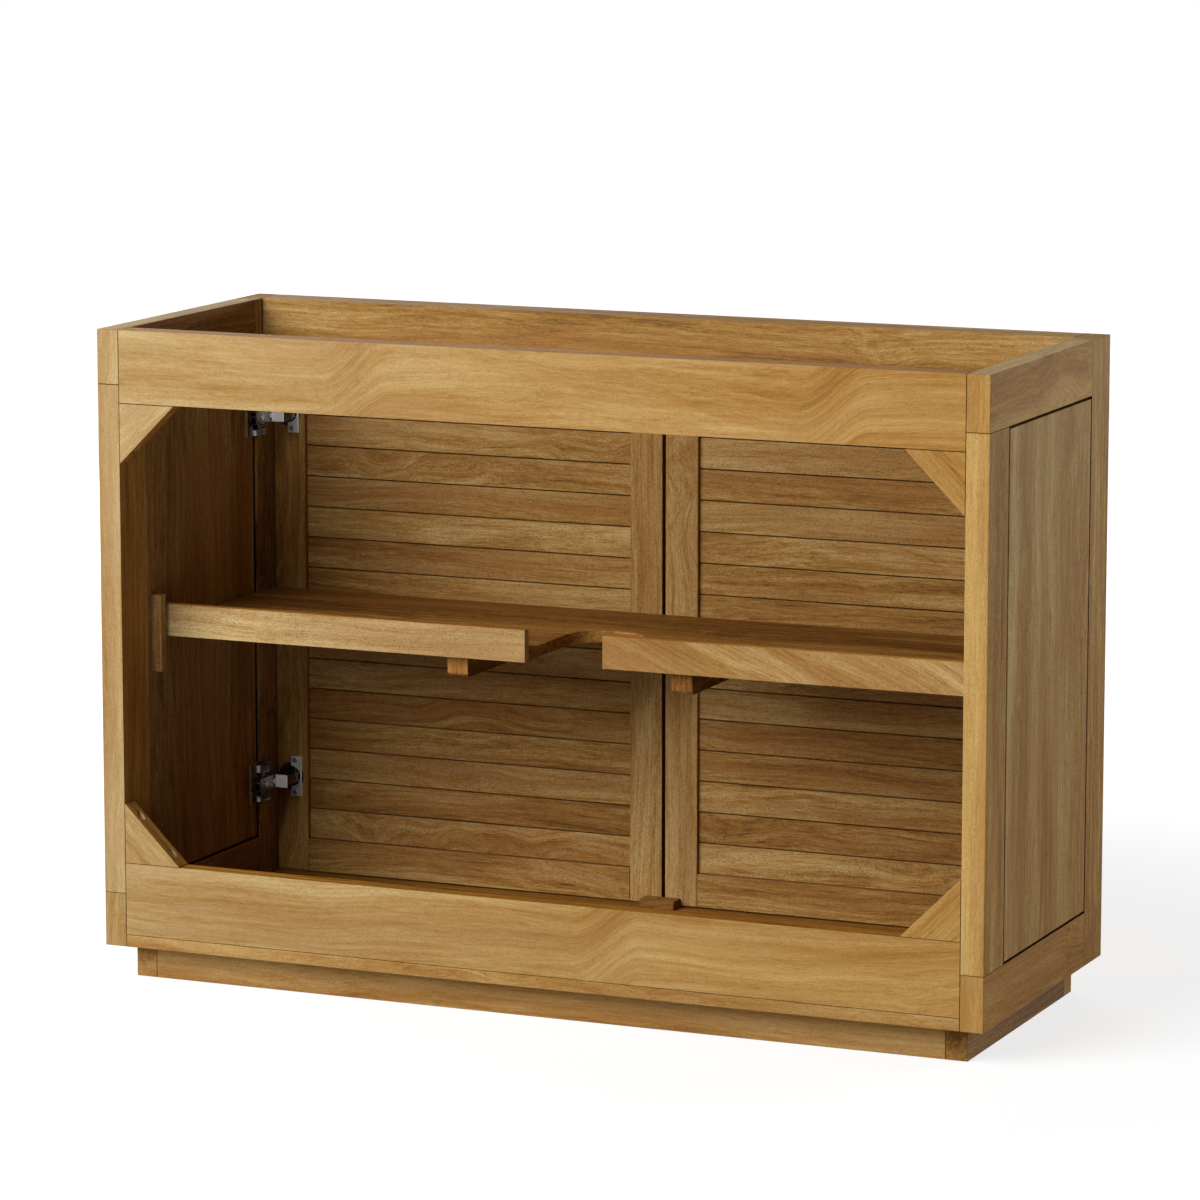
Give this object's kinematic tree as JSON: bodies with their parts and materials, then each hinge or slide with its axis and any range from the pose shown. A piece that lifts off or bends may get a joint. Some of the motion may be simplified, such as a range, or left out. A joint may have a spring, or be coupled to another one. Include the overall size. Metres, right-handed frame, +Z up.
{
  "type": "louvred door cabinet",
  "caption": "Freestanding bathroom vanity base in solid wood with louvred doors on concealed hinges, an open top and back, and a shelf notched for plumbing.",
  "frame": {"origin": "on the floor under the middle of the cabinet, in the plinth's underside", "axes": "+X to the right seen from the front, -Y out of the front (the doors' side), +Y out of the open back, +Z up"},
  "size_m": [1.2192, 0.4608, 0.8587],
  "materials": {
    "oiled_wood": "satin oiled golden hardwood",
    "dark_nickel": "dark plated pressed steel",
    "bright_nickel": "satin nickel plated steel",
    "screw_steel": "zinc plated steel"
  },
  "bodies": {
    "carcass": {"bottom_board": "oiled_wood", "door_stop": "oiled_wood", "door_stop_screw": "screw_steel", "front_face_rail": "oiled_wood", "front_stretcher": "oiled_wood", "gusset_left_bottom": "oiled_wood", "gusset_left_top": "oiled_wood", "gusset_right_bottom": "oiled_wood", "gusset_right_top": "oiled_wood", "gusset_screws": "screw_steel", "hinge_left_arms": "dark_nickel", "hinge_left_crank_caps": "bright_nickel", "hinge_left_packers": "oiled_wood", "hinge_left_plates": "dark_nickel", "hinge_left_screws": "screw_steel", "hinge_right_arms": "dark_nickel", "hinge_right_crank_caps": "bright_nickel", "hinge_right_packers": "oiled_wood", "hinge_right_plates": "dark_nickel", "hinge_right_screws": "screw_steel", "plinth_front": "oiled_wood", "plinth_left": "oiled_wood", "plinth_rear": "oiled_wood", "plinth_right": "oiled_wood", "rear_bottom_rail": "oiled_wood", "rear_top_rail": "oiled_wood", "shelf_battens": "oiled_wood", "shelf_board": "oiled_wood", "shelf_cleats": "oiled_wood", "shelf_dowels": "oiled_wood", "shelf_lips": "oiled_wood", "side_left_bottom_rail": "oiled_wood", "side_left_front_stile": "oiled_wood", "side_left_panel": "oiled_wood", "side_left_rear_stile": "oiled_wood", "side_left_top_rail": "oiled_wood", "side_right_bottom_rail": "oiled_wood", "side_right_front_stile": "oiled_wood", "side_right_panel": "oiled_wood", "side_right_rear_stile": "oiled_wood", "side_right_top_rail": "oiled_wood"},
    "door_right": {"door_right_bottom_rail": "oiled_wood", "door_right_cup_screws": "screw_steel", "door_right_hinge_cups": "dark_nickel", "door_right_hinge_flanges": "bright_nickel", "door_right_hinge_links": "dark_nickel", "door_right_hinge_stile": "oiled_wood", "door_right_meeting_stile": "oiled_wood", "door_right_slats": "oiled_wood", "door_right_top_rail": "oiled_wood"},
    "door_left": {"door_left_bottom_rail": "oiled_wood", "door_left_cup_screws": "screw_steel", "door_left_hinge_cups": "dark_nickel", "door_left_hinge_flanges": "bright_nickel", "door_left_hinge_links": "dark_nickel", "door_left_hinge_stile": "oiled_wood", "door_left_meeting_stile": "oiled_wood", "door_left_slats": "oiled_wood", "door_left_top_rail": "oiled_wood"}
  },
  "joints": [
    {"name": "door_right_hinge", "type": "hinge", "parent": "carcass", "child": "door_right", "pos_m": [0.5766, -0.2296, 0.424], "axis": [0, 0, 1], "range_deg": [0, 100]},
    {"name": "door_left_hinge", "type": "hinge", "parent": "carcass", "child": "door_left", "pos_m": [-0.5766, -0.2296, 0.424], "axis": [0, 0, -1], "range_deg": [0, 100]}
  ]
}
